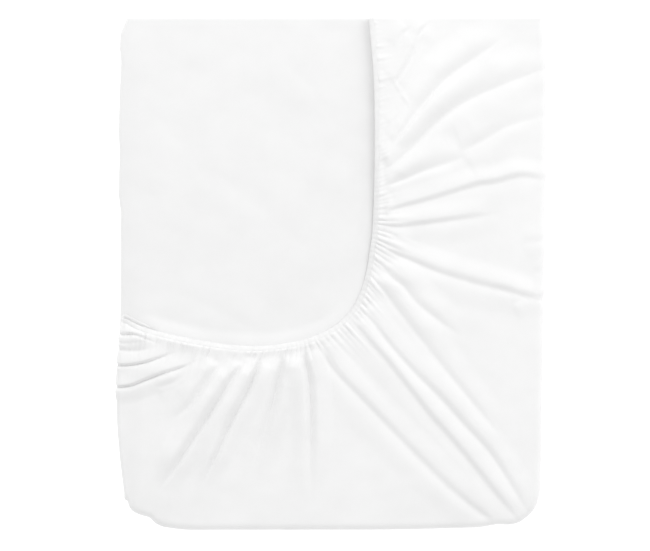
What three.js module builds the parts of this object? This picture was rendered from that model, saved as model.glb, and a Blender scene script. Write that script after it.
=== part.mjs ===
import * as THREE from "three";

// A white fitted mattress protector, folded in four with its corners tucked into one another.
// Sizes are millimetres. +X is to the right, +Y to the fold at the top, +Z up from the floor.
// Seen from above, the top and left sides are folds. The skirt wraps round the right and bottom
// sides and lies gathered on top, and the panel shows inside the curve of its hem.

const panelThickness = 2.2;
const skirtThickness = 1.6;
const sewnGap = 0.3;
const seamGap = 0.6;
const bindingWidth = 10;
const bindingShoulder = 2.2;

// The lines about which the cloth turns over at the top and left, and how far the skirt bows out
// at the left between its hem and its lower corner
const topFoldY = 476;
const leftFoldX = -382;
const leftBow = 12;

// The quarters from the outermost to the innermost. Levels are the cloth's mid-height over the
// floor. Out is +1 where the skirt's right side faces out. The hem of an inner quarter is set
// back from the top one's by so much at the left fold, at the corner and at the top fold.
const quarters = {
  a: { panelZ: 1.1, skirtZ: 26.2, out: 1, binding: 3.4, setBack: [0, 0, 0], steps: 4 },
  b: { panelZ: 5.1, skirtZ: 22.4, out: -1, binding: 2.4, setBack: [5, 16, 2], steps: 1 },
  c: { panelZ: 9.1, skirtZ: 19.4, out: 1, binding: 2.4, setBack: [5, 5, 3], steps: 1 },
  d: { panelZ: 13.1, skirtZ: 16.4, out: -1, binding: 2.4, setBack: [-8, 17, 3], steps: 1 },
};
const wrapRadius = (quarters.a.skirtZ - quarters.a.panelZ) / 2;

// Lines across the skirt, from the left fold round the corner to the top fold: where each leaves
// the hem, where it meets the packet's outline, and the way it faces there in degrees from +X
const stations = [
  { hemX: -382, hemY: -74, edgeX: leftFoldX, edgeY: -424, turn: -90 },
  { hemX: -358, hemY: -95, edgeX: -377, edgeY: -436, turn: -115 },
  { hemX: -311, hemY: -111, edgeX: -366, edgeY: -446, turn: -122 },
  { hemX: -260, hemY: -122, edgeX: -350, edgeY: -455, turn: -118 },
  { hemX: -204, hemY: -131, edgeX: -330, edgeY: -466, turn: -115 },
  { hemX: -161, hemY: -135, edgeX: -303, edgeY: -475, turn: -104 },
  { hemX: -130, hemY: -135, edgeX: -268, edgeY: -479, turn: -94 },
  { hemX: -92, hemY: -131, edgeX: -193, edgeY: -479, turn: -90 },
  { hemX: -53, hemY: -124, edgeX: -25, edgeY: -479, turn: -90 },
  { hemX: -36, hemY: -118, edgeX: 147, edgeY: -478, turn: -90 },
  { hemX: -19, hemY: -111, edgeX: 278, edgeY: -473, turn: -86 },
  { hemX: 5, hemY: -98, edgeX: 330, edgeY: -468, turn: -75 },
  { hemX: 29, hemY: -77, edgeX: 371, edgeY: -450, turn: -45 },
  { hemX: 48, hemY: -49, edgeX: 387, edgeY: -421, turn: -12 },
  { hemX: 61, hemY: -14, edgeX: 392, edgeY: -367, turn: -2 },
  { hemX: 69, hemY: 22, edgeX: 394, edgeY: -245, turn: 0 },
  { hemX: 73, hemY: 50, edgeX: 396, edgeY: -133, turn: 0 },
  { hemX: 76, hemY: 70, edgeX: 397, edgeY: -53, turn: 0 },
  { hemX: 77, hemY: 87, edgeX: 398, edgeY: 22, turn: 0 },
  { hemX: 78, hemY: 104, edgeX: 399, edgeY: 110, turn: 0 },
  { hemX: 79, hemY: 125, edgeX: 400, edgeY: 179, turn: 0 },
  { hemX: 80, hemY: 160, edgeX: 401, edgeY: 278, turn: 0 },
  { hemX: 81, hemY: 231, edgeX: 401, edgeY: 362, turn: 0 },
  { hemX: 79, hemY: 362, edgeX: 400, edgeY: 427, turn: 0 },
  { hemX: 70, hemY: topFoldY, edgeX: 397, edgeY: topFoldY, turn: 0 },
];
const lastStation = stations.length - 1;
const cornerStation = 12;

// Soft folds in the top skirt. Each follows its valley through three points, with its crest on
// the left of that way. Its width is given at both ends, its height at both ends and between.
const folds = [
  { from: [117, 351], by: [140, 394], to: [179, 450], wide: [16, 24], high: [1.5, 2, 1.5] },
  { from: [115, 241], by: [194, 347], to: [334, 452], wide: [20, 50], high: [2, 3.5, 2.5] },
  { from: [110, 190], by: [229, 312], to: [392, 381], wide: [22, 55], high: [2.5, 4, 3] },
  { from: [121, 171], by: [162, 188], to: [231, 213], wide: [15, 30], high: [3, 3, 2] },
  { from: [265, 250], by: [327, 276], to: [390, 293], wide: [20, 45], high: [2, 3, 3] },
  { from: [158, 125], by: [270, 162], to: [396, 177], wide: [16, 36], high: [3, 5, 4] },
  { from: [110, 89], by: [184, 93], to: [327, 117], wide: [14, 40], high: [3, 5, 3] },
  { from: [91, 82], by: [121, 70], to: [156, 56], wide: [10, 12], high: [3, 3, 1] },
  { from: [95, 59], by: [117, 50], to: [143, 35], wide: [8, 12], high: [3, 3.5, 1.5] },
  { from: [117, 35], by: [241, -8], to: [398, -51], wide: [16, 60], high: [4, 7, 6] },
  { from: [87, 22], by: [188, -79], to: [334, -182], wide: [14, 55], high: [3, 4.5, 3] },
  { from: [82, -12], by: [184, -143], to: [323, -313], wide: [12, 55], high: [3, 4.5, 3] },
  { from: [63, -58], by: [190, -240], to: [356, -447], wide: [12, 50], high: [4, 6, 5] },
  { from: [42, -87], by: [184, -262], to: [336, -449], wide: [10, 34], high: [4, 6, 5] },
  { from: [-17, -126], by: [123, -313], to: [304, -462], wide: [12, 48], high: [4, 6, 9] },
  { from: [-49, -146], by: [-38, -255], to: [-32, -371], wide: [14, 40], high: [5, 4, 1.5] },
  { from: [-90, -165], by: [-107, -264], to: [-152, -367], wide: [14, 36], high: [5, 3.5, 1] },
  { from: [-133, -158], by: [-186, -270], to: [-245, -408], wide: [14, 40], high: [5, 5, 3] },
  { from: [-161, -165], by: [-238, -279], to: [-320, -406], wide: [12, 44], high: [4, 6, 5] },
  { from: [-210, -165], by: [-255, -230], to: [-309, -272], wide: [10, 30], high: [3, 2.5, 1] },
  { from: [-410, -212], by: [-346, -199], to: [-287, -171], wide: [22, 10], high: [6, 6, 2] },
  { from: [-410, -173], by: [-363, -169], to: [-320, -156], wide: [16, 8], high: [6, 5, 2] },
  { from: [-410, -118], by: [-387, -118], to: [-369, -116], wide: [12, 8], high: [6, 5, 2] },
];

// Where a fold stands over its valley, as shares of its width
const steepFoot = -0.15;
const crest = 0.25;

// The left fold of the panel wavers a little in and out
const leftWaver = [
  { y: 480, outward: -6 },
  { y: 450, outward: 6 },
  { y: 422, outward: 8 },
  { y: 394, outward: 5 },
  { y: 334, outward: 8 },
  { y: 259, outward: 10 },
  { y: 222, outward: 8 },
  { y: 138, outward: 10 },
  { y: 104, outward: 6 },
  { y: -60, outward: 6 },
  { y: -200, outward: 9 },
  { y: -330, outward: 8 },
  { y: -410, outward: -2 },
  { y: -480, outward: -2 },
];

// Shares of the way from hem to wrap, then the angles round the wrap
const topRows = [0, 0.05, 0.13, 0.25, 0.4, 0.57, 0.77, 1];
const wrapAngles = [36, 72, 108, 144, 180];
const turnAngles = [45, 90, 135];

const outwardAtTop = new THREE.Vector3(0, 1, 0);
const outwardAtLeft = new THREE.Vector3(-1, 0, 0);

function throughPoints(points) {
  return new THREE.CatmullRomCurve3(points, false, "centripetal");
}

const hemCurve = throughPoints(stations.map((row) => new THREE.Vector3(row.hemX, row.hemY, 0)));
const edgeCurve = throughPoints(stations.map((row) => new THREE.Vector3(row.edgeX, row.edgeY, 0)));

// The way the outline faces at a share of the way along the stations
function facingAt(share) {
  const place = share * lastStation;
  const index = Math.min(Math.floor(place), lastStation - 1);
  const turn = THREE.MathUtils.lerp(stations[index].turn, stations[index + 1].turn, place - index);
  const radians = THREE.MathUtils.degToRad(turn);
  return new THREE.Vector3(Math.cos(radians), Math.sin(radians), 0);
}

// The way from the hem into the skirt, square to the folds at both ends
function intoSkirtAt(share) {
  const along = hemCurve.getTangent(share);
  const across = new THREE.Vector3(along.y, -along.x, 0);
  const endBlend = 0.06;
  const atLeft = 1 - THREE.MathUtils.smoothstep(share, 0, endBlend);
  const atTop = THREE.MathUtils.smoothstep(share, 1 - endBlend, 1);
  across.lerp(new THREE.Vector3(0, -1, 0), atLeft);
  across.lerp(new THREE.Vector3(1, 0, 0), atTop);
  return across.normalize();
}

function setBackAt(quarter, share) {
  const [atLeft, atCorner, atTop] = quarter.setBack;
  const toCorner = THREE.MathUtils.smoothstep(share, 0, 0.25);
  const toTop = THREE.MathUtils.smoothstep(share, 0.75, 1);
  const back = THREE.MathUtils.lerp(atLeft, atCorner, toCorner);
  return THREE.MathUtils.lerp(back, atTop, toTop);
}

function foldPath(fold) {
  const [fromX, fromY] = fold.from;
  const [byX, byY] = fold.by;
  const [toX, toY] = fold.to;
  const control = new THREE.Vector2(2 * byX - (fromX + toX) / 2, 2 * byY - (fromY + toY) / 2);
  const curve = new THREE.QuadraticBezierCurve(
    new THREE.Vector2(fromX, fromY),
    control,
    new THREE.Vector2(toX, toY),
  );
  return curve.getPoints(10);
}
const foldPaths = folds.map(foldPath);

// The nearest place on a path: its share of the length, the distance to the left, and how far
// the point lies beyond an end
function nearestOnPath(path, point) {
  let best = { distance: Infinity };
  for (let index = 0; index < path.length - 1; index += 1) {
    const start = path[index];
    const way = path[index + 1].clone().sub(start);
    const length = way.length();
    way.divideScalar(length);
    const offset = point.clone().sub(start);
    const along = offset.dot(way);
    const held = THREE.MathUtils.clamp(along, 0, length);
    const distance = point.distanceTo(start.clone().addScaledVector(way, held));
    if (distance < best.distance) {
      best = {
        distance,
        share: (index + held / length) / (path.length - 1),
        left: way.x * offset.y - way.y * offset.x,
        beyond: Math.abs(along - held),
      };
    }
  }
  return best;
}

// Height of one fold: a steep side over its valley and a long soft side behind the crest
function foldHeight(fold, path, point) {
  const near = nearestOnPath(path, point);
  const width = THREE.MathUtils.lerp(fold.wide[0], fold.wide[1], near.share);
  const place = near.left / width;
  if (place < steepFoot || place > 1 || near.beyond > width) {
    return 0;
  }
  const [first, middle, last] = fold.high;
  const height =
    near.share < 0.5
      ? THREE.MathUtils.lerp(first, middle, near.share * 2)
      : THREE.MathUtils.lerp(middle, last, near.share * 2 - 1);
  const rise = THREE.MathUtils.smoothstep(place, steepFoot, crest);
  const fall = 1 - THREE.MathUtils.smoothstep(place, crest, 1);
  const fade = 1 - THREE.MathUtils.smoothstep(near.beyond, 0, width);
  return height * rise * fall * fade;
}

// Neighbouring folds merge without adding up
function reliefAt(x, y) {
  const point = new THREE.Vector2(x, y);
  const cubes = folds.map((fold, index) => foldHeight(fold, foldPaths[index], point) ** 3);
  return Math.cbrt(cubes.reduce((sum, cube) => sum + cube, 0));
}

// The cloth folded over an edge between two points, at an angle round the turn
function turned(near, far, outward, degrees) {
  const radians = THREE.MathUtils.degToRad(degrees);
  const middle = near.clone().add(far).multiplyScalar(0.5);
  const half = near.clone().sub(far).multiplyScalar(0.5);
  return middle
    .addScaledVector(half, Math.cos(radians))
    .addScaledVector(outward, half.length() * Math.sin(radians));
}

// A ring of points round the skirt's section at one station: down one face, back up the other
function skirtRing(quarter, share) {
  const into = intoSkirtAt(share);
  const start = hemCurve.getPoint(share);
  start.addScaledVector(into, setBackAt(quarter, share) + bindingWidth + sewnGap);
  const facing = facingAt(share);
  const wrapStart = edgeCurve.getPoint(share).addScaledVector(facing, -wrapRadius);
  const radius = (quarter.skirtZ - quarter.panelZ) / 2;
  const middleZ = (quarter.skirtZ + quarter.panelZ) / 2;
  const isTop = quarter === quarters.a;
  const bow = leftBow * (1 - THREE.MathUtils.smoothstep(share, 0, 0.12));

  const face = (side) => {
    const lift = (side * quarter.out * skirtThickness) / 2;
    const flat = topRows.map((row) => {
      const point = start.clone().lerp(wrapStart, row);
      point.x -= bow * Math.sin(Math.PI * row);
      const relief = isTop ? reliefAt(point.x, point.y) : 0;
      return point.setZ(quarter.skirtZ + relief + lift);
    });
    const relief = flat[flat.length - 1].z - quarter.skirtZ - lift;
    const round = wrapAngles.map((degrees) => {
      const radians = THREE.MathUtils.degToRad(degrees);
      const fade = ((1 + Math.cos(radians)) / 2) ** 1.2;
      const reach = radius + lift + relief * fade;
      const point = wrapStart.clone().addScaledVector(facing, reach * Math.sin(radians));
      return point.setZ(middleZ + reach * Math.cos(radians));
    });
    return [...flat, ...round];
  };
  return [...face(1), ...face(-1).reverse()];
}

// A ring of points round the elastic binding's rounded section at one station
function bindingRing(quarter, share) {
  const into = intoSkirtAt(share);
  const start = hemCurve.getPoint(share).addScaledVector(into, setBackAt(quarter, share));
  const half = quarter.binding / 2;
  const outline = [
    { across: 0, up: 0 },
    { across: bindingShoulder, up: half },
    { across: bindingWidth - bindingShoulder, up: half },
    { across: bindingWidth, up: 0 },
    { across: bindingWidth - bindingShoulder, up: -half },
    { across: bindingShoulder, up: -half },
  ];
  return outline.map(({ across, up }) => {
    const point = start.clone().addScaledVector(into, across);
    return point.setZ(quarter.skirtZ + up * quarter.out);
  });
}

function sharesOf(quarter) {
  const count = lastStation * quarter.steps;
  return Array.from({ length: count + 1 }, (_, index) => index / count);
}

function turnRings(near, far, outward) {
  return turnAngles.map((degrees) =>
    near.map((point, index) => turned(point, far[index], outward, degrees)),
  );
}

// The rings of one closed loop through the four quarters and the folds between them
function loopRings(ringAt) {
  const { a, b, c, d } = quarters;
  const rings = (quarter) => sharesOf(quarter).map((share) => ringAt(quarter, share));
  return [
    ...rings(a),
    ...turnRings(ringAt(a, 1), ringAt(b, 1), outwardAtTop),
    ...rings(b).reverse(),
    ...turnRings(ringAt(b, 0), ringAt(c, 0), outwardAtLeft),
    ...rings(c),
    ...turnRings(ringAt(c, 1), ringAt(d, 1), outwardAtTop),
    ...rings(d).reverse(),
    ...turnRings(ringAt(d, 0), ringAt(a, 0), outwardAtLeft),
  ];
}

function meshOf(name, points, quads, material) {
  const indices = quads.flatMap(([p, q, r, s]) => [p, q, r, p, r, s]);
  const geometry = new THREE.BufferGeometry().setFromPoints(points);
  geometry.setIndex(indices);
  geometry.computeVertexNormals();
  const mesh = new THREE.Mesh(geometry, material);
  mesh.name = name;
  return mesh;
}

// A closed loop of rings, joined into one solid. Each cell is split the same way on both faces,
// so that the cloth keeps its thickness where it twists.
function loopMesh(name, rings, material) {
  const size = rings[0].length;
  const quads = rings.flatMap((ring, row) => {
    const here = row * size;
    const next = ((row + 1) % rings.length) * size;
    return ring.map((_, index) => {
      const beside = (index + 1) % size;
      const cell = [here + index, here + beside, next + beside, next + index];
      return index < size / 2 ? cell : [...cell.slice(1), cell[0]];
    });
  });
  return meshOf(name, rings.flat(), quads, material);
}

function waverAt(y) {
  const index = leftWaver.findIndex((row) => row.y <= y);
  const upper = leftWaver[index - 1];
  const lower = leftWaver[index];
  const share = (upper.y - y) / (upper.y - lower.y);
  return THREE.MathUtils.lerp(upper.outward, lower.outward, share);
}

// One quarter of the panel in plan: columns from the left fold to the right seam, and rows from
// the top fold to the bottom seam
function quarterPlan() {
  const seamAt = (index) => {
    const share = index / lastStation;
    const point = edgeCurve.getPoint(share);
    return point.addScaledVector(facingAt(share), -wrapRadius - seamGap);
  };
  const bottom = [];
  for (let index = 0; index <= cornerStation; index += 1) {
    bottom.push(seamAt(index));
  }
  const right = [];
  for (let index = lastStation; index >= cornerStation; index -= 1) {
    right.push(seamAt(index));
  }
  const left = bottom[0].x;
  const corner = bottom[bottom.length - 1];
  return right.map((edge) => {
    const down = (topFoldY - edge.y) / (topFoldY - corner.y);
    const start = left - waverAt(edge.y);
    return bottom.map((foot) => {
      const across = (foot.x - left) / (corner.x - left);
      const x = THREE.MathUtils.lerp(start, edge.x, across);
      const y = THREE.MathUtils.lerp(topFoldY, foot.y, down);
      return new THREE.Vector3(x, y, 0);
    });
  });
}

// One face of the folded panel as a grid: over the top fold, then round the left fold
function panelFace(plan, side) {
  const at = (quarter, row, column) => {
    const lift = (-side * quarter.out * panelThickness) / 2;
    return plan[row][column].clone().setZ(quarter.panelZ + lift);
  };
  const { a, b, c, d } = quarters;
  const lastRow = plan.length - 1;
  const strip = (outer, inner, column) => {
    const rows = plan.map((_, row) => row);
    const near = rows.map((row) => at(outer, lastRow - row, column));
    const far = rows.map((row) => at(inner, row, column));
    const over = turnAngles.map((degrees) => turned(near[lastRow], far[0], outwardAtTop, degrees));
    return [...near, ...over, ...far];
  };
  const columns = plan[0].map((_, column) => column);
  const lower = columns.map((column) => strip(a, b, column)).reverse();
  const upper = columns.map((column) => strip(d, c, column));
  const round = turnRings(lower[lower.length - 1], upper[0], outwardAtLeft);
  return [...lower, ...round, ...upper];
}

function panelMesh(name, material) {
  const plan = quarterPlan();
  const faces = [panelFace(plan, 1), panelFace(plan, -1)];
  const rows = faces[0].length;
  const columns = faces[0][0].length;
  const at = (face, row, column) => (face * rows + row) * columns + column;
  const quads = [];
  for (let row = 0; row < rows - 1; row += 1) {
    for (let column = 0; column < columns - 1; column += 1) {
      quads.push([0, 1, 2, 3].map((turn) => at(0, row + (turn % 3 > 0), column + (turn > 1))));
      quads.push([3, 2, 1, 0].map((turn) => at(1, row + (turn % 3 > 0), column + (turn > 1))));
    }
  }
  const rim = [];
  for (let row = 0; row < rows - 1; row += 1) {
    rim.push([row, 0]);
  }
  for (let column = 0; column < columns - 1; column += 1) {
    rim.push([rows - 1, column]);
  }
  for (let row = rows - 1; row > 0; row -= 1) {
    rim.push([row, columns - 1]);
  }
  for (let column = columns - 1; column > 0; column -= 1) {
    rim.push([0, column]);
  }
  rim.forEach(([row, column], index) => {
    const [nextRow, nextColumn] = rim[(index + 1) % rim.length];
    quads.push([
      at(0, nextRow, nextColumn),
      at(0, row, column),
      at(1, row, column),
      at(1, nextRow, nextColumn),
    ]);
  });
  return meshOf(name, faces.flat(2), quads, material);
}

const knit = new THREE.MeshStandardMaterial({ color: 0xf4f4f4, roughness: 0.9, metalness: 0 });
const skirtKnit = new THREE.MeshStandardMaterial({ color: 0xf3f3f3, roughness: 0.88, metalness: 0 });
const elastic = new THREE.MeshStandardMaterial({ color: 0xf6f6f6, roughness: 0.8, metalness: 0 });

const protector = new THREE.Group();
protector.name = "folded_mattress_protector";
protector.add(panelMesh("panel", knit));
protector.add(loopMesh("skirt", loopRings(skirtRing), skirtKnit));
protector.add(loopMesh("elastic_binding", loopRings(bindingRing), elastic));

export default protector;
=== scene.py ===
import math

import bpy
import numpy as np
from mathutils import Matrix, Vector


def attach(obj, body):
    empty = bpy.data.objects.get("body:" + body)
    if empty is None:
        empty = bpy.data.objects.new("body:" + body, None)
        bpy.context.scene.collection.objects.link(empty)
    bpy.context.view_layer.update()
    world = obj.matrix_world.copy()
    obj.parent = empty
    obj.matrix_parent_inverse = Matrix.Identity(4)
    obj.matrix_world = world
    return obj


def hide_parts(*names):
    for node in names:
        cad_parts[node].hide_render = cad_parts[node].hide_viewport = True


# White fitted mattress protector, folded in four and lying flat on a pale floor
# Tables and sizes are millimetres in the frame of the CAD, +X right, +Y to the top fold, +Z up

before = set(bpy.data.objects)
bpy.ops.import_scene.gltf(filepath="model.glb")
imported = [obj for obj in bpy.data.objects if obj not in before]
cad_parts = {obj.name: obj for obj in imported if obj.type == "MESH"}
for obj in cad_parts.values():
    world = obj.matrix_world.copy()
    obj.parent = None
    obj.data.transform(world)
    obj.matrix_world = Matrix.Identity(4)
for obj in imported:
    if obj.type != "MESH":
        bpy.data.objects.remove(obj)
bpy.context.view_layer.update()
rng = np.random.default_rng(41)
mm = 0.001

# Lines across the skirt from the left fold, round the corner, to the top fold: a point of the hem,
# a point of the outer edge, and the way that the edge faces, in degrees
# hemX, hemY, edgeX, edgeY, facing
stations = np.array([
    (-385, -84, -382, -424, -90), (-358, -97, -377, -436, -115), (-311, -111, -366, -446, -122),
    (-260, -122, -350, -455, -118), (-204, -131, -330, -466, -115), (-161, -135, -303, -475, -104),
    (-130, -135, -268, -479, -94), (-92, -131, -193, -479, -90), (-53, -124, -25, -479, -90),
    (-36, -118, 147, -478, -90), (-19, -111, 278, -473, -86), (5, -98, 330, -468, -75),
    (29, -77, 371, -450, -45), (48, -49, 387, -421, -12), (61, -14, 392, -367, -2),
    (69, 22, 394, -245, 0), (73, 50, 396, -133, 0), (76, 70, 397, -53, 0),
    (77, 87, 398, 22, 0), (78, 104, 399, 110, 0), (79, 125, 400, 179, 0),
    (80, 160, 401, 278, 0), (81, 231, 401, 362, 0), (79, 362, 400, 427, 0),
    (70, 476, 397, 476, 0),
], float)
lastStation = len(stations) - 1
cornerStation = 12
cornerShare = cornerStation / lastStation

packet = {
    "topFoldY": 476, "leftBow": 12, "seamGap": 0.6,
    # mid levels of panel and skirt, which way the skirt faces, how thick the elastic is,
    # and how far its hem is set back at the left fold, the corner and the top fold
    "a": dict(panelZ=1.1, skirtZ=26.2, out=1, binding=3.4, setBack=(0, 0, 0)),
    "b": dict(panelZ=5.1, skirtZ=22.4, out=-1, binding=2.4, setBack=(5, 16, 2)),
    "c": dict(panelZ=9.1, skirtZ=19.4, out=1, binding=2.4, setBack=(5, 5, 3)),
    "d": dict(panelZ=13.1, skirtZ=16.4, out=-1, binding=2.4, setBack=(-8, 17, 3)),
}
wrapRadius = (packet["a"]["skirtZ"] - packet["a"]["panelZ"]) / 2

# Where along the hem things change, as shares of the stations from the left fold to the top fold
along = {
    "leftFold": (0, 0.06), "topFold": (0.94, 1), "leftBow": (0, 0.12),
    "cornerSetBack": (0, 0.25), "topSetBack": (0.75, 1),
}


def smooth(value, low, high):
    share = np.clip((value - low) / (high - low), 0, 1)
    return share * share * (3 - 2 * share)


def mix(a, b, share):
    return a + (b - a) * share


def arcOf(points):
    # length walked from the first point to each
    return np.concatenate([[0], np.cumsum(np.linalg.norm(np.diff(points, axis=0), axis=1))])


def throughPoints(points, share):
    # a centripetal curve, as in the CAD
    points = np.asarray(points, float)
    share = np.atleast_1d(np.asarray(share, float))
    place = share * (len(points) - 1)
    index = np.clip(np.floor(place).astype(int), 0, len(points) - 2)
    t = (place - index)[:, None]
    longer = np.vstack([2 * points[0] - points[1], points, 2 * points[-1] - points[-2]])
    p0, p1, p2, p3 = (longer[index + k] for k in range(4))
    steps = (p1 - p0, p2 - p1, p3 - p2)
    d0, d1, d2 = (np.linalg.norm(step, axis=1, keepdims=True) ** 0.5 for step in steps)
    m1 = ((p1 - p0) / d0 - (p2 - p0) / (d0 + d1) + (p2 - p1) / d1) * d1
    m2 = ((p2 - p1) / d1 - (p3 - p1) / (d1 + d2) + (p3 - p2) / d2) * d1
    square = 3 * p2 - 3 * p1 - 2 * m1 - m2
    cube = 2 * p1 - 2 * p2 + m1 + m2
    return p1 + m1 * t + square * t ** 2 + cube * t ** 3


def hemAt(share):
    return throughPoints(stations[:, 0:2], share)


# Small dents and bulges of the outline
# x, y, outward, wide
outlineDents = [
    (-343, -461, -3.6, 11), (-372, -441, 1.6, 12), (-318, -471, 1.4, 13), (311, -470, -3.8, 14),
    (345, -464, 3.4, 16), (402, -49, -2.4, 9), (402, 176, 1.8, 16), (402, 60, 1.2, 22),
]


def edgeAt(share):
    edge = throughPoints(stations[:, 2:4], share)
    dents = np.zeros(len(edge))
    for x, y, outward, wide in outlineDents:
        dents += outward * np.exp(-((edge[:, 0] - x) ** 2 + (edge[:, 1] - y) ** 2) / wide ** 2)
    return edge + facingAt(np.atleast_1d(share)) * dents[:, None]


def facingAt(share):
    turn = np.radians(np.interp(share * lastStation, range(lastStation + 1), stations[:, 4]))
    return np.stack([np.cos(turn), np.sin(turn)], axis=1)


def intoSkirtAt(share):
    # square to the hem, but straight down at the left fold and straight out at the top fold
    tiny = 0.0001
    way = hemAt(np.minimum(share + tiny, 1)) - hemAt(np.maximum(share - tiny, 0))
    way /= np.linalg.norm(way, axis=1, keepdims=True)
    across = np.stack([way[:, 1], -way[:, 0]], axis=1)
    across = mix(across, np.array([0.0, -1.0]), (1 - smooth(share, *along["leftFold"]))[:, None])
    across = mix(across, np.array([1.0, 0.0]), smooth(share, *along["topFold"])[:, None])
    return across / np.linalg.norm(across, axis=1, keepdims=True)


def setBackAt(quarter, share):
    left, corner, top = quarter["setBack"]
    setBack = mix(left, corner, smooth(share, *along["cornerSetBack"]))
    return mix(setBack, top, smooth(share, *along["topSetBack"]))


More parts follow.
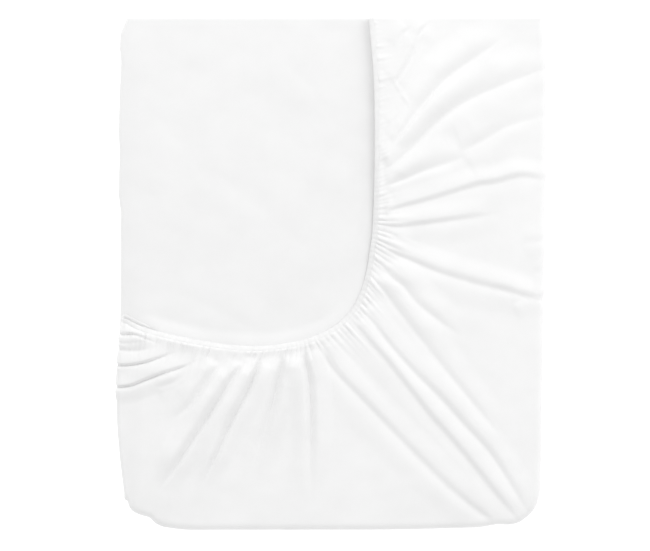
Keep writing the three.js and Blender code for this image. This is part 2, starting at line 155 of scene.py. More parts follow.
# Folds of the top skirt, a row each: a crease with a rounded crest on either side, which falls away
# beyond. Left and right are those of the way that the points take
# x, y, leftAway, rightAway, leftHigh, rightHigh for each point
skirtFolds = [
    # upper right
    [(117, 351, 8, 6, 2.2, 1.7), (149, 401, 10, 6, 3.8, 2.6), (171, 455, 12, 6, 3.6, 1.8),
     (186, 476, 12, 5, 0.6, 0.4)],
    [(110, 275, 6, 4, 1.5, 1), (128, 304, 5, 5, 0.3, 0.3)],
    [(126, 335, 8, 8, 1.5, 1.5), (137, 342, 8, 8, 1.1, 0.8)],
    [(124, 419, 8, 8, 1.4, 1.1), (134, 448, 8, 8, 2.5, 2.5), (143, 455, 8, 8, 2.5, 2.5),
     (156, 470, 8, 8, 0.8, 0.6)],
    [(157, 438, 8, 6, 1.8, 1.4), (173, 458, 8, 6, 2.5, 1.9), (189, 474, 8, 7, 0.5, 0.4)],
    [(116, 240, 6, 5, 1.5, 1.3), (143, 280, 12, 8, 5, 3.6), (173, 319, 18, 12, 7.6, 5.2),
     (216, 364, 22, 16, 7.6, 5.6), (246, 388, 22, 17, 6.2, 4.8), (335, 450, 24, 14, 2.7, 1.6)],
    [(110, 190, 22, 8, 5, 1.9), (231, 309, 23, 16, 6, 4), (392, 381, 24, 19, 3.3, 2.7),
     (427, 396, 24, 19, 3.3, 2.7)],
    [(101, 193, 8, 8, 2, 1.1), (128, 216, 8, 8, 1.6, 1.2), (158, 242, 8, 8, 0.8, 0.8)],
    [(98, 162, 8, 5, 2, 1), (123, 171, 12, 6, 5, 2.5), (174, 192, 20, 9, 7, 3),
     (233, 212, 24, 16, 5, 2.8), (274, 231, 24, 24, 2.2, 1.8)],
    [(237, 226, 20, 20, 2, 2), (278, 246, 23, 20, 5, 4), (327, 274, 24, 14, 3.5, 2.4),
     (390, 293, 24, 10, 2.2, 0.9), (427, 302, 24, 10, 2.2, 0.9)],
    # right side
    [(98, 113, 6, 10, 2, 0.8), (140, 126, 7, 15, 4.6, 1.2), (173, 134, 8, 16, 5.3, 1.6),
     (207, 144, 8, 17, 5.3, 1.6), (241, 155, 8, 18, 5.3, 1.6), (275, 165, 8, 18, 5.6, 1.6),
     (309, 170, 8, 18, 5.6, 1.6), (353, 181, 8, 18, 5.3, 1.6), (396, 177, 8, 18, 4.6, 1.6),
     (431, 173, 8, 18, 4.6, 1.6)],
    [(93, 108, 8, 8, 2.1, 1.8), (121, 104, 8, 8, 0.7, 0.7)],
    [(97, 92, 8, 8, 0.7, 0.4), (114, 90, 8, 7, 1.1, 0.7)],
    [(98, 88, 6, 8, 2.4, 0.8), (128, 87, 8, 12, 4.8, 1.6), (173, 92, 8, 12, 5.2, 1.8),
     (224, 99, 8, 12, 4.4, 1.6), (275, 106, 9, 12, 3.2, 1.2), (330, 114, 10, 12, 1.2, 0.6)],
    [(97, 81, 8, 8, 1.3, 1), (120, 67, 8, 7, 2.5, 1.8), (155, 53, 8, 8, 0.9, 0.5)],
    [(94, 58, 8, 8, 1, 1), (123, 45, 8, 8, 1.1, 1.1), (147, 33, 8, 8, 0.3, 0.3)],
    [(97, 46, 6, 8, 2, 0.8), (116, 37, 8, 10, 4, 1.6), (157, 20, 10, 12, 5, 2.1),
     (197, 3, 12, 14, 5, 2.4), (241, -11, 13, 15, 4.6, 2.4), (292, -25, 12, 14, 5, 2.4),
     (326, -32, 10, 12, 5.9, 2.8), (363, -43, 9, 11, 5.9, 2.4), (397, -48, 9, 11, 4.6, 2),
     (431, -53, 9, 11, 4.6, 2)],
    [(334, -55, 8, 8, 2.5, 2.5), (368, -48, 8, 8, 1.3, 1.3)],
    [(371, 5, 8, 7, 1.6, 0.8), (393, 2, 8, 7, 2.2, 1.1), (423, -3, 8, 7, 2.2, 1.1)],
    [(353, 57, 8, 8, 2, 2), (393, 62, 8, 8, 1.7, 1.7), (423, 65, 8, 8, 1.7, 1.7)],
    # towards the corner
    [(93, 16, 11, 18, 2.5, 2.8), (111, -6, 15, 10, 5.7, 3), (134, -24, 15, 7, 6.9, 2.4),
     (154, -50, 15, 11, 4.9, 1.7), (188, -79, 15, 17, 4.8, 2.6), (250, -123, 15, 19, 3.1, 2.3)],
    [(78, -10, 9, 8, 2.2, 1.6), (96, -32, 15, 7, 4.7, 2), (122, -66, 15, 9, 4.4, 1.8),
     (184, -144, 15, 13, 3, 1.7), (257, -234, 12, 15, 3.2, 2.8), (323, -313, 7, 16, 0.9, 1.6)],
    [(71, -28, 6, 6, 0.5, 0.5), (86, -48, 8, 7, 0.8, 0.8)],
    [(56, -66, 10, 12, 3, 1.2), (76, -89, 10, 12, 5, 2.2), (98, -120, 10, 12, 5.5, 2.6),
     (123, -150, 10, 12, 5.5, 2.6), (160, -191, 11, 13, 5, 2.6), (201, -231, 12, 14, 4.6, 2.6),
     (248, -283, 12, 14, 4.6, 2.6), (297, -337, 12, 14, 4.6, 2.6), (360, -436, 11, 13, 4, 2),
     (377, -460, 11, 13, 4, 2)],
    [(39, -90, 9, 12, 3, 1.5), (69, -126, 9, 13, 4.5, 2.5), (100, -161, 9, 15, 4.8, 2.6),
     (136, -206, 9, 17, 4.8, 2.6), (181, -263, 9, 18, 5, 2.6), (220, -307, 9, 18, 5, 2.6),
     (261, -356, 9, 17, 4.8, 2.6), (325, -434, 9, 14, 4.5, 2), (360, -473, 9, 13, 4.5, 2)],
    [(33, -91, 8, 8, 1.5, 1.7), (42, -100, 8, 8, 0.8, 0.8)],
    [(14, -111, 8, 8, 1.6, 1.6), (23, -121, 8, 8, 0.5, 0.6)],
    [(-36, -134, 8, 8, 2.5, 2.5), (-30, -143, 8, 8, 1.3, 1.2)],
    [(-22, -127, 12, 13, 4, 1.6), (-3, -170, 12, 13, 4.6, 2.6), (23, -202, 12, 13, 4.6, 2.6),
     (44, -223, 12, 18, 4.6, 2.2), (127, -308, 12, 18, 4.6, 2.6), (223, -403, 12, 15, 4.6, 2.6),
     (286, -453, 12, 13, 4.6, 2.6), (308, -466, 12, 13, 4.6, 2.6), (334, -481, 12, 13, 4.6, 2.6)],
    # lower side
    [(-51, -135, 7, 10, 3.3, 5), (-48, -163, 9, 11, 7.7, 9.9), (-41, -193, 10, 11, 9.3, 11.6),
     (-38, -232, 11, 11, 9.3, 11.6), (-37, -273, 10, 11, 8.8, 10.4), (-38, -318, 10, 12, 6, 7.2),
     (-39, -367, 10, 13, 3.3, 4), (-40, -434, 10, 13, 1.1, 1.3)],
    [(-94, -146, 8, 10, 4.5, 3.9), (-94, -173, 12, 12, 11, 9.3), (-101, -206, 14, 13, 13.2, 10.4),
     (-110, -244, 14, 13, 12, 9.3), (-121, -281, 13, 14, 8.6, 6.6), (-136, -326, 12, 14, 4.6, 4),
     (-158, -404, 11, 14, 1.1, 1.3)],
    [(-130, -154, 6, 8, 4.3, 6.3), (-140, -183, 7, 11, 7.2, 10.1), (-160, -228, 7, 13, 7.9, 11.4),
     (-182, -267, 7, 13, 7.9, 11.4), (-215, -339, 7, 10, 7.2, 8.8), (-246, -406, 7, 8, 3.6, 4.4)],
    [(-162, -166, 6, 7, 3.6, 5.1), (-191, -203, 6, 11, 6.4, 10.1), (-210, -236, 7, 14, 7.2, 12),
     (-232, -270, 7, 15, 7.2, 12), (-259, -311, 7, 15, 7.2, 12), (-290, -359, 8, 14, 7.9, 12),
     (-319, -406, 9, 14, 7.2, 10.1)],
    [(-204, -169, 6, 13, 2.8, 6.1), (-224, -191, 6, 14, 4.8, 9.2), (-244, -219, 7, 14, 6.2, 9.8),
     (-262, -245, 8, 14, 5.5, 8.6), (-307, -281, 10, 13, 2.2, 3.2)],
    # pleats at the left fold
    [(-440, -214, 4, 5, 6.5, 6.5), (-398, -213, 4, 5, 6.5, 6.5), (-374, -210, 4, 5, 6.5, 6.5),
     (-346, -199, 4, 5, 6, 6), (-311, -186, 5, 6, 6, 6), (-273, -173, 5, 6, 6, 6),
     (-240, -156, 6, 6, 5, 5)],
    [(-332, -214, 8, 8, 1.3, 1.6), (-293, -201, 8, 8, 2.3, 2), (-267, -181, 8, 8, 0.3, 0.3)],
    [(-440, -173, 4, 4, 5.8, 5.8), (-395, -173, 4, 4, 5.8, 5.8), (-358, -169, 4, 4, 5.8, 5.8),
     (-320, -157, 4, 5, 5.5, 5.5), (-279, -141, 5, 5, 4.5, 4.5)],
    [(-440, -116, 4, 4, 5.5, 5.5), (-399, -116, 4, 4, 5.5, 5.5), (-369, -114, 4, 4, 5, 5),
     (-335, -126, 4, 4, 3.5, 3.5), (-301, -137, 4, 4, 2, 2)],
    [(-440, -143, 5, 5, 2, 2), (-399, -143, 5, 5, 2.2, 2.2), (-365, -144, 6, 6, 2.2, 2.2),
     (-337, -139, 6, 6, 1.6, 1.6), (-311, -133, 6, 6, 1, 1)],
    [(-440, -101, 4, 4, 2.6, 2.6), (-399, -101, 4, 4, 2.6, 2.6), (-380, -103, 4, 4, 2.2, 2.2),
     (-363, -108, 4, 4, 1.2, 1.2)],
    [(-440, -130, 4, 4, 1.8, 1.8), (-399, -130, 4, 4, 1.8, 1.8), (-358, -128, 4, 4, 1.8, 1.8),
     (-330, -123, 4, 4, 1.6, 1.6)],
]

# Shape of every fold: how round its bottom is, as a length and as a share of the crest's distance;
# how far beyond the crest it falls away, again both; and how long and how narrow it starts and ends
fold = {
    "round": 2.0, "roundShare": 0.25, "fall": 24, "fallShare": 1.7, "pathSteps": 6,
    "startLength": 18, "startShare": 0.4, "endLength": 80, "endShare": 0.6, "narrowest": 0.5,
}


def foldHeight(row, x, y):
    points = np.array(row, float)
    steps = np.linspace(0, 1, fold["pathSteps"] * (len(points) - 1) + 1)
    path = throughPoints(points[:, :2], steps)
    reach = fold["fallShare"] * points[:, 2:4].max() + fold["fall"]
    height = np.zeros_like(x)
    low, far = path.min(axis=0) - reach, path.max(axis=0) + reach
    near = (x > low[0]) & (x < far[0]) & (y > low[1]) & (y < far[1])
    px, py = x[near], y[near]
    if px.size == 0:
        return height
    # the nearest place on the path, how far to its left it is, and how far along
    best = np.full(px.shape, np.inf)
    place, left, fromStart = np.zeros_like(px), np.zeros_like(px), np.zeros_like(px)
    walked = 0.0
    for k in range(len(path) - 1):
        wayX, wayY = path[k + 1] - path[k]
        length = math.hypot(wayX, wayY)
        wayX, wayY = wayX / length, wayY / length
        offX, offY = px - path[k, 0], py - path[k, 1]
        held = np.clip(offX * wayX + offY * wayY, 0, length)
        distance = np.hypot(offX - held * wayX, offY - held * wayY)
        nearer = distance < best
        best = np.where(nearer, distance, best)
        place = np.where(nearer, k + held / length, place)
        left = np.where(nearer, wayX * offY - wayY * offX, left)
        fromStart = np.where(nearer, walked + held, fromStart)
        walked += length
    place = place * (len(points) - 1) / (len(path) - 1)
    leftAway, rightAway, leftHigh, rightHigh = (
        np.interp(place, range(len(points)), points[:, k]) for k in range(2, 6)
    )
    away = np.where(left > 0, leftAway, rightAway)
    high = np.where(left > 0, leftHigh, rightHigh)
    # a fold starts and ends narrow and low
    starting = smooth(fromStart, 0, min(fold["startLength"], fold["startShare"] * walked))
    ending = smooth(walked - fromStart, 0, min(fold["endLength"], fold["endShare"] * walked))
    inward = starting * ending
    away, high = away * mix(fold["narrowest"], 1, inward), high * inward
    bottom = np.minimum(fold["round"], fold["roundShare"] * away)
    across = np.sqrt(left ** 2 + bottom ** 2) - bottom
    fall = 1 - smooth(across, away, fold["fallShare"] * away + fold["fall"])
    height[near] = high * np.sin(math.pi / 2 * np.clip(across / away, 0, 1)) * fall
    return height


# Waves that are not a fold, soft ones in all cloth: their lengths are around size
skirtWaves = {"seed": 3, "size": 60, "high": 0.25}
panelWaves = [{"seed": 11, "size": 95, "high": 0.35}, {"seed": 12, "size": 26, "high": 0.07}]
waveCount, waveSpread = 26, (0.6, 1.8)


def wavesAt(x, y, seed, size, high):
    waves = np.random.default_rng(seed)
    total = np.zeros_like(x)
    for _ in range(waveCount):
        angle, phase = waves.uniform(0, 2 * math.pi, 2)
        length = size * waves.uniform(*waveSpread)
        total += np.sin((x * math.cos(angle) + y * math.sin(angle)) * 2 * math.pi / length + phase)
    return high * total / math.sqrt(waveCount)


# The hem of the top quarter in small steps, and how far along it each is
fineShares = np.linspace(0, 1, 2401)
finePoints = hemAt(fineShares)
fineArc = arcOf(finePoints)
hemLength = fineArc[-1]

# Small gathers where the elastic draws the skirt in: rounded arches with a tight valley between
# each two. The spreads are the least and the most of a size, drawn for each gather. They are
# higher along the lower left, and lower, closer and shorter up the right (as shares of the hem)
gathers = {
    "pitch": 9.2, "pitchSpread": (0.6, 1.45), "reach": 24, "reachSpread": (0.35, 1.6),
    "high": 3.4, "highSpread": (0.35, 1.25), "fullPitch": 8, "mostByPitch": 1.2,
    "lowerLeft": (0.10, 0.28), "lowerLeftHigher": 0.55,
    "upright": (0.60, 0.72), "uprightShorter": 0.5, "uprightCloser": 0.15, "uprightLower": 0.42,
    "archPower": 0.75, "start": (-2, 4), "fadeFrom": 2, "fadePower": 1.4, "sideReach": 0.55,
}


def makeGathers():
    rows, arc = [], 0.0
    while arc < hemLength:
        pitch = gathers["pitch"] * rng.uniform(*gathers["pitchSpread"])
        upright = smooth(arc / hemLength, *gathers["upright"])
        reach = gathers["reach"] * rng.uniform(*gathers["reachSpread"])
        reach *= 1 - gathers["uprightShorter"] * upright
        pitch *= 1 - gathers["uprightCloser"] * upright
        lively = 1 + gathers["lowerLeftHigher"] * (1 - smooth(arc / hemLength, *gathers["lowerLeft"]))
        lively -= gathers["uprightLower"] * upright
        high = gathers["high"] * lively * rng.uniform(*gathers["highSpread"])
        high *= min(pitch / gathers["fullPitch"], gathers["mostByPitch"])
        rows.append((arc, pitch, high, reach))
        arc += pitch
    return np.array(rows)


gatherRows = makeGathers()


def gatherAt(arc, away):
    index = np.searchsorted(gatherRows[:, 0], arc, side="right") - 1
    index = np.clip(index, 0, len(gatherRows) - 1)
    at, pitch, high, reach = (gatherRows[index, k] for k in range(4))
    share = np.clip((arc - at) / pitch, 0, 1)
    arch = np.sin(math.pi * share) ** gathers["archPower"]
    # the arch dies away further out, and sooner at its sides than along its middle
    fade = np.maximum(away - gathers["fadeFrom"], 0) / (reach * mix(gathers["sideReach"], 1, arch))
    return high * arch * smooth(away, *gathers["start"]) * np.exp(-fade ** gathers["fadePower"])


# How the packet lies: thinner towards its left fold and its outer edges, so the top rolls off
# softly. Drops are shares of the height
settle = {
    "leftX": -392, "leftWide": 36, "leftDrop": 0.28, "skirtY": (-175, -60),
    "skirtX": (-390, -350), "skirtDrop": 0.12,
    "rightX": 398, "lowerY": -478, "sideWide": 90, "sideDrop": 0.07,
}


def settled(points):
    x, y = points[..., 0], points[..., 1]
    beside = np.clip((settle["leftX"] + settle["leftWide"] - x) / settle["leftWide"], 0, 1)
    above = smooth(y, *settle["skirtY"])
    drop = settle["leftDrop"] * beside ** 2 * above
    drop += settle["skirtDrop"] * (1 - above) * (1 - smooth(x, *settle["skirtX"]))
    right = smooth(x, settle["rightX"] - settle["sideWide"], settle["rightX"])
    lower = 1 - smooth(y, settle["lowerY"], settle["lowerY"] + settle["sideWide"])
    out = points.copy()
    out[..., 2] *= (1 - drop) * (1 - settle["sideDrop"] * np.maximum(right, lower))
    return out


def turnAngles(steps):
    return np.radians(np.linspace(0, 180, steps + 2)[1:-1])


def turned(near, far, outward, angles):
    middle, half = (near + far) / 2, (near - far) / 2
    size = np.linalg.norm(half, axis=1, keepdims=True)
    out = np.array(outward, float) * size
    return [middle + half * math.cos(angle) + out * math.sin(angle) for angle in angles]


skirtCloth = {
    "thick": 1.6, "underBinding": 1.2, "fineStations": 480, "coarseStations": 25, "turnSteps": 5,
    "underRows": 26, "topWrapSteps": 11, "underWrapSteps": 6, "wrapFade": 1.2,
    # the relief starts this far before the hem, and the waves come in further out
    "reliefFrom": -4, "wavesFrom": (10, 60),
}
# Rows across the top of the skirt, as shares of its depth: closer where the gathers are
# from, to, steps
rowSteps = [(0, 0.075, 13), (0.075, 0.44, 61), (0.44, 1, 53)]
topRows = np.append(np.concatenate([np.linspace(*row, endpoint=False) for row in rowSteps]), 1)
underRows = np.linspace(0, 1, skirtCloth["underRows"])
topWrap = np.radians(np.linspace(0, 180, skirtCloth["topWrapSteps"] + 1)[1:])
underWrap = np.radians(np.linspace(0, 180, skirtCloth["underWrapSteps"] + 1)[1:])
# How far from the hem the folds are at their full height, by the share of the hem's length
foldsRise = {"share": [0, 0.05, 0.12, 0.3, 0.42, 1], "wide": [10, 14, 46, 46, 18, 18]}
bindingWide = 10


def skirtPlan(quarter, shares, rows):
    inward = setBackAt(quarter, shares) + bindingWide - skirtCloth["underBinding"]
    start = hemAt(shares) + intoSkirtAt(shares) * inward[:, None]
    wrapStart = edgeAt(shares) - facingAt(shares) * wrapRadius
    bow = packet["leftBow"] * (1 - smooth(shares, *along["leftBow"]))
    flat = start[:, None, :] + (wrapStart - start)[:, None, :] * rows[None, :, None]
    flat[:, :, 0] -= bow[:, None] * np.sin(math.pi * rows)[None, :]
    return flat, wrapStart


def skirtFace(quarter, shares, rows, angles, side, relief):
    facing = facingAt(shares)
    flat, wrapStart = skirtPlan(quarter, shares, rows)
    radius = (quarter["skirtZ"] - quarter["panelZ"]) / 2
    middleZ = (quarter["skirtZ"] + quarter["panelZ"]) / 2
    lift = side * skirtCloth["thick"] / 2
    top = np.concatenate([flat, (quarter["skirtZ"] + relief + lift)[:, :, None]], axis=2)
    # round the outer edge, where the folds die away
    fade = ((1 + np.cos(angles)) / 2) ** skirtCloth["wrapFade"]
    reach = radius + lift + relief[:, -1:] * fade[None, :]
    wrap = wrapStart[:, None, :] + facing[:, None, :] * (reach * np.sin(angles))[:, :, None]
    wrapZ = middleZ + reach * np.cos(angles)
    return np.concatenate([top, np.concatenate([wrap, wrapZ[:, :, None]], axis=2)], axis=1)


def topRelief(shares):
    flat, _ = skirtPlan(packet["a"], shares, topRows)
    x, y = flat[:, :, 0], flat[:, :, 1]
    arc = np.interp(shares, fineShares, fineArc)[:, None] + np.zeros(len(topRows))
    away = np.linalg.norm(flat - flat[:, :1], axis=2)
    risen = np.interp(arc / hemLength, foldsRise["share"], foldsRise["wide"])
    folds = sum(foldHeight(row, x, y) for row in skirtFolds)
    waves = wavesAt(x, y, **skirtWaves) * smooth(away, *skirtCloth["wavesFrom"])
    return folds * smooth(away, skirtCloth["reliefFrom"], risen) + gatherAt(arc, away) + waves


def skirtRings(quarter, shares):
    relief = np.zeros((len(shares), len(topRows)))
    if quarter is packet["a"]:
        relief = topRelief(shares)
    # the hidden face has few rows and keeps below the valleys of the top one that are near each
    # row, so just over half a row away. At the outer edge it may be 1 mm over its neighbours
    rowReach = 0.65 / (len(underRows) - 1)
    close = [np.abs(topRows - row) < rowReach for row in underRows]
    lowest = np.stack([relief[:, rows].min(axis=1) for rows in close], axis=1)
    for step in (1, 2):
        lowest[step:] = np.minimum(lowest[step:], lowest[:-step])
        lowest[:-step] = np.minimum(lowest[:-step], lowest[step:])
    lowest[:, -1] = np.minimum(relief[:, -1], lowest[:, -1] + 1)
    outer = skirtFace(quarter, shares, topRows, topWrap, quarter["out"], relief)
    inner = skirtFace(quarter, shares, underRows, underWrap, -quarter["out"], lowest)
    return np.concatenate([outer, inner[:, ::-1]], axis=1)


# Elastic edge: its free side droops to the panel, less so up the right, and it is drawn into
# small ripples and scallops by the gathers
elastic = {
    "droop": 7.0, "droopPower": 1.4, "droopIn": (0, 0.09), "uprightLess": 0.88, "uprightFrom": (0.8, 0.97),
    "ripple": 0.9, "rippleAtHem": 0.3, "rippleDownTo": -0.1, "scallop": 0.5, "gatherAway": 3.0,
    "fineStations": 640, "coarseStations": 60, "turnSteps": 5,
}
# Its section: across from the hem, and up or down as a share of half its thickness
bindingSection = [
    (0, 0), (0.5, 0.55), (1.6, 0.88), (3.4, 1), (5.2, 1), (7, 0.95), (8.4, 0.8), (9.5, 0.5), (10, 0),
    (9.5, -0.5), (8.4, -0.8), (7, -0.95), (5.2, -1), (3.4, -1), (1.6, -0.88), (0.5, -0.55),
]


def bindingRings(quarter, shares):
    into = intoSkirtAt(shares)
    start = hemAt(shares) + into * setBackAt(quarter, shares)[:, None]
    section = np.array(bindingSection, float)
    across, up = section[:, 0], section[:, 1] * quarter["binding"] / 2
    height = quarter["skirtZ"] + quarter["out"] * up[None, :] + 0 * shares[:, None]
    if quarter is packet["a"]:
        inward = across[None, :] / bindingWide
        arc = np.interp(shares, fineShares, fineArc)
        arch = gatherAt(arc, np.full_like(arc, elastic["gatherAway"])) / gathers["high"]
        start = start - into * (elastic["scallop"] * (arch - 0.5))[:, None]
        ripple = elastic["ripple"] * (arch[:, None] - 0.5) * mix(elastic["rippleAtHem"], 1, inward)
        height = height + ripple * (up[None, :] > elastic["rippleDownTo"])
        droop = elastic["droop"] * smooth(shares, *elastic["droopIn"])
        droop *= 1 - elastic["uprightLess"] * smooth(shares, *elastic["uprightFrom"])
        height = height - droop[:, None] * (1 - inward) ** elastic["droopPower"]
    points = start[:, None, :] + into[:, None, :] * across[None, :, None]
    return np.concatenate([points, height[:, :, None]], axis=2)


def evenShares(count):
    # evenly spread along hem and outer edge together
    hemWeight = 0.6
    edgeArc = arcOf(edgeAt(fineShares))
    both = hemWeight * fineArc / hemLength + (1 - hemWeight) * edgeArc / edgeArc[-1]
    return np.interp(np.linspace(0, 1, count), both, fineShares)


def loopRings(ringsAt, size):
    # one loop through the four quarters, turned over at the top fold and at the left fold by turns
    a, b, c, d = (packet[k] for k in "abcd")
    shares, fewer = evenShares(size["fineStations"]), np.linspace(0, 1, size["coarseStations"])
    ends, angles = np.array([0.0, 1.0]), turnAngles(size["turnSteps"])
    topTurn, leftTurn = (0, 1, 0), (-1, 0, 0)
    first, second, third, fourth = (ringsAt(quarter, ends) for quarter in (a, b, c, d))
    rings = [*ringsAt(a, shares), *turned(first[1], second[1], topTurn, angles)]
    rings += [*ringsAt(b, fewer)[::-1], *turned(second[0], third[0], leftTurn, angles)]
    rings += [*ringsAt(c, fewer), *turned(third[1], fourth[1], topTurn, angles)]
    rings += [*ringsAt(d, fewer)[::-1], *turned(fourth[0], first[0], leftTurn, angles)]
    return np.array(rings)


sharpFrom = 60          # degrees, only the cut edges of the cloth are sharper


def makeMesh(name, points, quads, material, uv):
    mesh = bpy.data.meshes.new(name)
    mesh.from_pydata((settled(points) * mm).tolist(), [], quads.tolist())
    mesh.polygons.foreach_set("use_smooth", np.ones(len(mesh.polygons), bool))
    layer = mesh.uv_layers.new(name="cloth")
    corners = np.zeros(len(mesh.loops), np.int32)
    mesh.loops.foreach_get("vertex_index", corners)
    layer.data.foreach_set("uv", uv[corners].astype(np.float32).ravel())
    mesh.update()
    mesh.validate()
    mesh.set_sharp_from_angle(angle=math.radians(sharpFrom))
    piece = bpy.data.objects.new(name, mesh)
    bpy.context.scene.collection.objects.link(piece)
    mesh.materials.append(material)
    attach(piece, "root")
    return piece


def loopMesh(name, rings, material, topCount):
    count, size = rings.shape[:2]
    ring, index = np.meshgrid(np.arange(count), np.arange(size), indexing="ij")
    here, beside = ring * size + index, ring * size + (index + 1) % size
    following = ((ring + 1) % count) * size
    quads = np.stack([here, beside, following + (index + 1) % size, following + index], axis=2)
    # quads of the hidden face start one corner on
    quads[:, topCount:] = np.roll(quads[:, topCount:], -1, axis=2)
    # cloth coordinates in millimetres: round the loop, and across it
    walked = arcOf(rings[:, topCount // 2])
    steps = np.linalg.norm(np.diff(rings, axis=1), axis=2)
    across = np.concatenate([np.zeros((count, 1)), np.cumsum(steps, axis=1)], axis=1)
    uv = np.stack([walked[:, None] + 0 * across, across], axis=2).reshape(-1, 2)
    return makeMesh(name, rings.reshape(-1, 3), quads.reshape(-1, 4), material, uv)


panelCloth = {
    "thick": 2.2, "turnSteps": 7, "fewColumns": 30, "fewRows": 36,
    # steps of the mesh where the panel shows and where it is hidden, and how far it shows
    "fine": 5.0, "coarse": 30.0, "showsToX": 110, "showsToY": -190,
    # no relief on the folds at the left and at the top, and the hem's rise ends this far from it
    "plainLeft": (-392, -372), "plainTop": (472, 455), "riseAway": (2, 27),
}
# How far the left fold stands out
# y, outward
leftWaver = np.array([
    (480, -6), (450, 6), (422, 8), (394, 5), (334, 8), (259, 10), (222, 8), (138, 10), (104, 6),
    (-60, 6), (-200, 9), (-330, 8), (-410, -2), (-480, -2),
], float)
# Faint creases of the panel, in the same columns as the skirt's folds
panelFolds = [
    [(-345, -70, 22, 14, 0.5, 0.4), (-240, -112, 26, 16, 1.0, 0.8), (-150, -150, 22, 12, 0.5, 0.4)],
    [(-300, -30, 24, 16, 0.4, 0.3), (-205, -75, 26, 18, 0.8, 0.6), (-120, -118, 22, 14, 0.4, 0.3)],
    [(-240, 210, 30, 22, 0.3, 0.3), (-120, 110, 34, 24, 0.6, 0.5), (-20, 30, 30, 20, 0.3, 0.3)],
    [(-360, 330, 30, 22, 0.3, 0.3), (-280, 240, 30, 22, 0.6, 0.5), (-210, 150, 30, 20, 0.3, 0.3)],
    [(-110, 420, 26, 20, 0.3, 0.3), (-40, 350, 30, 22, 0.6, 0.5), (20, 260, 26, 20, 0.3, 0.3)],
]
# How far the panel rises to meet the hem, by the share of the hem's length
panelRise = {"share": [0, 0.03, 0.07, 0.38, 0.5, 0.62, 1], "high": [0.5, 1.5, 5.0, 5.0, 3.6, 1.2, 0.4]}


def seamAt(shares):
    return edgeAt(shares) - facingAt(shares) * (wrapRadius + packet["seamGap"])


def bottomSeamAt(columns):
    # from the left fold to the corner
    return seamAt(columns * cornerShare)


def rightSeamAt(rows):
    # from the top fold to the corner
    return seamAt(1 - rows * (1 - cornerShare))


def panelPlan(columns, rows):
    bottom, right = bottomSeamAt(columns), rightSeamAt(rows)
    left, corner = bottom[0, 0], bottom[-1]
    down = (packet["topFoldY"] - right[:, 1]) / (packet["topFoldY"] - corner[1])
    start = left - np.interp(-right[:, 1], -leftWaver[:, 0], leftWaver[:, 1])
    across = (bottom[:, 0] - left) / (corner[0] - left)
    x = start[:, None] + (right[:, 0] - start)[:, None] * across[None, :]
    y = packet["topFoldY"] + (bottom[None, :, 1] - packet["topFoldY"]) * down[:, None]
    return np.stack([x, y], axis=2)


def sharesAlong(seam, shows):
    # shares along a seam, close together where the cloth shows
    dense = np.linspace(0, 1, 4001)
    points = seam(dense)
    step = np.where(shows(points), panelCloth["fine"], panelCloth["coarse"])
    count = np.concatenate([[0], np.cumsum(np.diff(arcOf(points)) / step[1:])])
    total = int(math.ceil(count[-1]))
    return np.interp(np.linspace(0, count[-1], total + 1), count, dense)


def panelRelief(x, y):
    everyPoint = 8
    away, rise = np.full(x.shape, np.inf), np.zeros(x.shape)
    for (hemX, hemY), arc in zip(finePoints[::everyPoint], fineArc[::everyPoint]):
        distance = np.hypot(x - hemX, y - hemY)
        high = np.interp(arc / hemLength, panelRise["share"], panelRise["high"])
        rise = np.where(distance < away, high, rise)
        away = np.minimum(away, distance)
    creases = sum(foldHeight(row, x, y) for row in panelFolds)
    waves = sum(wavesAt(x, y, **wave) for wave in panelWaves)
    return creases + waves + rise * (1 - smooth(away, *panelCloth["riseAway"]))


def panelFace(plans, side):
    def at(key, plan, row):
        quarter = packet[key]
        lift = -side * quarter["out"] * panelCloth["thick"] / 2
        z = np.full(plan.shape[1], quarter["panelZ"] + lift)
        if key == "d":
            x, y = plan[row, :, 0], plan[row, :, 1]
            shown = smooth(x, *panelCloth["plainLeft"]) * smooth(y, *panelCloth["plainTop"])
            z = z + panelRelief(x, y) * shown
        return np.concatenate([plan[row], z[:, None]], axis=1)

    angles = turnAngles(panelCloth["turnSteps"])

    def strips(outer, inner, nearPlan, farPlan):
        # rows along y, columns along x
        near = [at(outer, nearPlan, row) for row in range(nearPlan.shape[0] - 1, -1, -1)]
        far = [at(inner, farPlan, row) for row in range(farPlan.shape[0])]
        over = turned(near[-1], far[0], (0, 1, 0), angles)
        return np.array(near + over + far)

    lower = strips("a", "b", *plans["ab"])[:, ::-1]
    upper = strips("d", "c", *plans["dc"])
    joined = turned(lower[:, -1], upper[:, 0], (-1, 0, 0), angles)
    return np.concatenate([lower, np.stack(joined, axis=1), upper], axis=1)


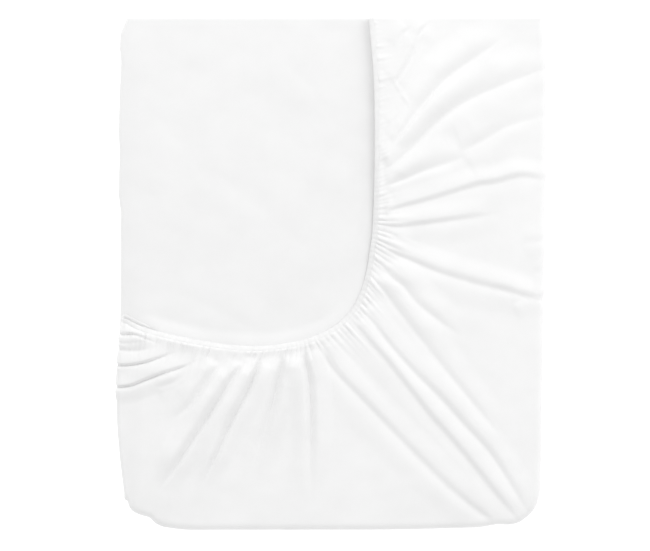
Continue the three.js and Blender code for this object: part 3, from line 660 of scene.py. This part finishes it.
def panelMesh(name, material):
    fineColumns = sharesAlong(bottomSeamAt, lambda points: points[:, 0] < panelCloth["showsToX"])
    fineRows = sharesAlong(rightSeamAt, lambda points: points[:, 1] > panelCloth["showsToY"])
    fewColumns = np.linspace(0, 1, panelCloth["fewColumns"])
    fewRows = np.linspace(0, 1, panelCloth["fewRows"])
    plans = {
        "dc": (panelPlan(fineColumns, fineRows), panelPlan(fineColumns, fewRows)),
        "ab": (panelPlan(fewColumns, fineRows), panelPlan(fewColumns, fewRows)),
    }
    faces = [panelFace(plans, 1), panelFace(plans, -1)]
    rows, columns = faces[0].shape[:2]
    row, column = np.meshgrid(np.arange(rows - 1), np.arange(columns - 1), indexing="ij")
    here = row * columns + column
    cell = np.stack([here, here + columns, here + columns + 1, here + 1], axis=2).reshape(-1, 4)
    # the cut edge joins the two faces, once round
    rim = [(r, 0) for r in range(rows - 1)] + [(rows - 1, c) for c in range(columns - 1)]
    rim += [(r, columns - 1) for r in range(rows - 1, 0, -1)]
    rim += [(0, c) for c in range(columns - 1, 0, -1)]
    ids = np.array([r * columns + c for r, c in rim])
    nextIds = np.roll(ids, -1)
    other = rows * columns
    edge = np.stack([ids, nextIds, nextIds + other, ids + other], axis=1)
    points = np.concatenate([face.reshape(-1, 3) for face in faces])
    quads = np.concatenate([cell[:, ::-1], cell + other, edge])
    return makeMesh(name, points, quads, material, points[:, :2].copy())


# Materials

def toLinear(hexColour):
    channels = [int(hexColour[k:k + 2], 16) / 255 for k in (1, 3, 5)]
    return tuple(c / 12.92 if c <= 0.04045 else ((c + 0.055) / 1.055) ** 2.4 for c in channels) + (1.0,)


def addNode(tree, kind, settings=None, links=None):
    node = tree.nodes.new(kind)
    for name, value in (settings or {}).items():
        if isinstance(name, int) or name in node.inputs:
            node.inputs[name].default_value = value
        else:
            setattr(node, name, value)
    for name, socket in (links or {}).items():
        tree.links.new(socket, node.inputs[name])
    return node


# light and shade are the two ends of each colour mix: random slow patches move between them, and the
# valleys between stitches get painted shade
# Knit cloth: sizes in millimetres, wale is one column of stitches and course one row. Real ones
# are 0.6 to 0.9 here, and they are drawn coarser so that they show at all
# Polyester jersey, knitted and then brushed: matt and even, with hardly a highlight
panelJersey = {
    "light": "#ebebeb", "shade": "#e8e8e8", "patch": 70, "wale": 1.3, "course": 1.1, "knitHigh": 0.16,
    "nap": 0.5, "napHigh": 0.1, "roughness": (0.82, 0.95), "sheen": 0.2, "sheenRoughness": 0.45,
}
# Polyester jersey with some elastane, knitted and left smooth: a little brighter on its crests
skirtJersey = {
    "light": "#eeeeee", "shade": "#ebebeb", "patch": 60, "wale": 1.2, "course": 1.6, "knitHigh": 0.2,
    "nap": 0.7, "napHigh": 0.08, "roughness": (0.76, 0.9), "sheen": 0.25, "sheenRoughness": 0.4,
}
# Tape knitted over elastic: ribs across the edge, with painted shade between them where the ribs dip
elasticBraid = {
    "light": "#ebebeb", "shade": "#e5e5e5", "patch": 12, "wale": 1.9, "course": 2.5, "knitHigh": 0.35,
    "nap": 0.6, "napHigh": 0.06, "roughness": (0.7, 0.85), "sheen": 0.2, "sheenRoughness": 0.35,
}
bandUnit = 0.314        # at this scale the bands of a wave texture are one unit apart


def knitCloth(name, look):
    material = bpy.data.materials.new(name)
    material.use_nodes = True
    tree = material.node_tree
    tree.nodes.clear()
    cloth = addNode(tree, "ShaderNodeUVMap", {"uv_map": "cloth"}).outputs["UV"]
    solid = addNode(tree, "ShaderNodeTexCoord").outputs["Object"]
    # the eye sees slow patches where the white yarn lies denser or thinner
    patches = addNode(tree, "ShaderNodeTexNoise", {
        "Scale": 1 / (look["patch"] * mm), "Detail": 4.0, "Roughness": 0.55,
    }, {"Vector": solid}).outputs["Fac"]
    # columns and rows of stitches follow the cloth round its folds
    wales = addNode(tree, "ShaderNodeTexWave", {
        "bands_direction": "X", "Scale": bandUnit / look["wale"], "Distortion": 0.6, "Detail": 1.0,
        "Detail Scale": 0.3,
    }, {"Vector": cloth}).outputs["Fac"]
    courses = addNode(tree, "ShaderNodeTexWave", {
        "bands_direction": "Y", "Scale": bandUnit / look["course"], "Distortion": 0.8, "Detail": 1.0,
        "Detail Scale": 0.3,
    }, {"Vector": cloth}).outputs["Fac"]
    product = addNode(tree, "ShaderNodeMath", {"operation": "MULTIPLY"}, {0: wales, 1: courses})
    stitches = product.outputs["Value"]
    # loose fibres blur the stitches to a soft nap
    nap = addNode(tree, "ShaderNodeTexNoise", {
        "Scale": 1 / (look["nap"] * mm), "Detail": 2.0, "Roughness": 0.6,
    }, {"Vector": solid}).outputs["Fac"]
    knitBump = addNode(tree, "ShaderNodeBump", {
        "Strength": 0.6, "Distance": look["knitHigh"] * mm,
    }, {"Height": stitches}).outputs["Normal"]
    napBump = addNode(tree, "ShaderNodeBump", {
        "Strength": 0.5, "Distance": look["napHigh"] * mm,
    }, {"Height": nap, "Normal": knitBump}).outputs["Normal"]
    # painted shade: the valleys between stitches get the darker colour and the yarn on top the lighter
    # one, added to the slow patches
    tint = addNode(tree, "ShaderNodeMapRange", {"From Min": 0.3, "From Max": 0.7}, {"Value": patches})
    shade = addNode(tree, "ShaderNodeMath", {
        "operation": "MULTIPLY_ADD", 1: 0.35,
    }, {0: stitches, 2: tint.outputs["Result"]}).outputs["Value"]
    colour = addNode(tree, "ShaderNodeMix", {
        "data_type": "RGBA", 6: toLinear(look["shade"]), 7: toLinear(look["light"]),
    }, {"Factor": shade}).outputs[2]
    low, high = look["roughness"]
    gloss = addNode(tree, "ShaderNodeMapRange", {"To Min": high, "To Max": low}, {"Value": patches})
    shader = addNode(tree, "ShaderNodeBsdfPrincipled", {
        "IOR": 1.5, "Specular IOR Level": 0.35, "Sheen Weight": look["sheen"],
        "Sheen Roughness": look["sheenRoughness"],
    }, {"Base Color": colour, "Roughness": gloss.outputs["Result"], "Normal": napBump})
    addNode(tree, "ShaderNodeOutputMaterial", {}, {"Surface": shader.outputs["BSDF"]})
    return material


print("stage 1: materials")
panelKnit = knitCloth("brushed_jersey_polyester", panelJersey)
skirtKnit = knitCloth("stretch_jersey_polyester", skirtJersey)
elasticKnit = knitCloth("knitted_over_elastic", elasticBraid)

print("stage 2: panel")
panel = panelMesh("panel_cloth", panelKnit)
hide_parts("panel")

print("stage 3: skirt")
skirtLoop = loopRings(skirtRings, skirtCloth)
skirt = loopMesh("skirt_cloth", skirtLoop, skirtKnit, len(topRows) + len(topWrap))
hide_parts("skirt")

print("stage 4: elastic binding")
bindingLoop = loopRings(bindingRings, elastic)
binding = loopMesh("elastic_edge", bindingLoop, elasticKnit, len(bindingSection) // 2)
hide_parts("elastic_binding")

# Floor, light and camera
studio = {
    "floorHalf": 12.0, "floor": "#fbfbfb", "floorRoughness": 0.95, "floorSpecular": 0.1,
    "floorGlow": 0.35, "world": 0.87,
    # two large windows: watts, size and distance in metres, azimuth from +X and height in degrees
    "eastWindow": (51, 3.2, 5.0, 34, 30), "northWindow": (66, 3.2, 5.0, 107, 36),
}
white = (1, 1, 1, 1)

print("stage 5: floor, light and camera")
floorMesh = bpy.data.meshes.new("floor")
half = studio["floorHalf"]
floorCorners = [(-half, -half, 0), (half, -half, 0), (half, half, 0), (-half, half, 0)]
floorMesh.from_pydata(floorCorners, [], [(0, 1, 2, 3)])
floor = bpy.data.objects.new("floor", floorMesh)
bpy.context.scene.collection.objects.link(floor)
# Paper, pressed and left uncoated: an even white without shine
paper = bpy.data.materials.new("matt_white_paper")
paper.use_nodes = True
paperInputs = paper.node_tree.nodes["Principled BSDF"].inputs
paperInputs["Base Color"].default_value = toLinear(studio["floor"])
paperInputs["Roughness"].default_value = studio["floorRoughness"]
paperInputs["Specular IOR Level"].default_value = studio["floorSpecular"]
paperInputs["Emission Color"].default_value = white
paperInputs["Emission Strength"].default_value = studio["floorGlow"]
floorMesh.materials.append(paper)

world = bpy.data.worlds.new("studio")
bpy.context.scene.world = world
world.use_nodes = True
worldInputs = world.node_tree.nodes["Background"].inputs
worldInputs["Color"].default_value = white
worldInputs["Strength"].default_value = studio["world"]

for windowName in ("eastWindow", "northWindow"):
    watts, size, far, azimuth, height = studio[windowName]
    windowData = bpy.data.lights.new(windowName, "AREA")
    windowData.shape = "DISK"
    windowData.size = size
    windowData.energy = watts
    window = bpy.data.objects.new(windowName, windowData)
    azimuth, height = math.radians(azimuth), math.radians(height)
    level = math.cos(height)
    towards = Vector((math.cos(azimuth) * level, math.sin(azimuth) * level, math.sin(height)))
    window.location = towards * far
    window.rotation_euler = towards.to_track_quat("Z", "Y").to_euler()
    bpy.context.scene.collection.objects.link(window)

bpy.context.scene.view_settings.view_transform = "Standard"
bpy.context.scene.view_settings.look = "None"

# The camera looks straight down from far, with the image 650 pixels wide
view = {
    "mmPerPixel": 1.869, "imageWide": 650, "centreX": -11.8, "centreY": -3.4, "level": 24,
    "lens": 180, "sensor": 36, "clipEnd": 100,
}
lens = bpy.data.cameras.new("camera")
lens.lens = view["lens"]
lens.sensor_width = view["sensor"]
lens.clip_end = view["clipEnd"]
camera = bpy.data.objects.new("camera", lens)
distance = view["imageWide"] * view["mmPerPixel"] * view["lens"] / view["sensor"]
camera.location = Vector((view["centreX"], view["centreY"], view["level"] + distance)) * mm
bpy.context.scene.collection.objects.link(camera)
bpy.context.scene.camera = camera
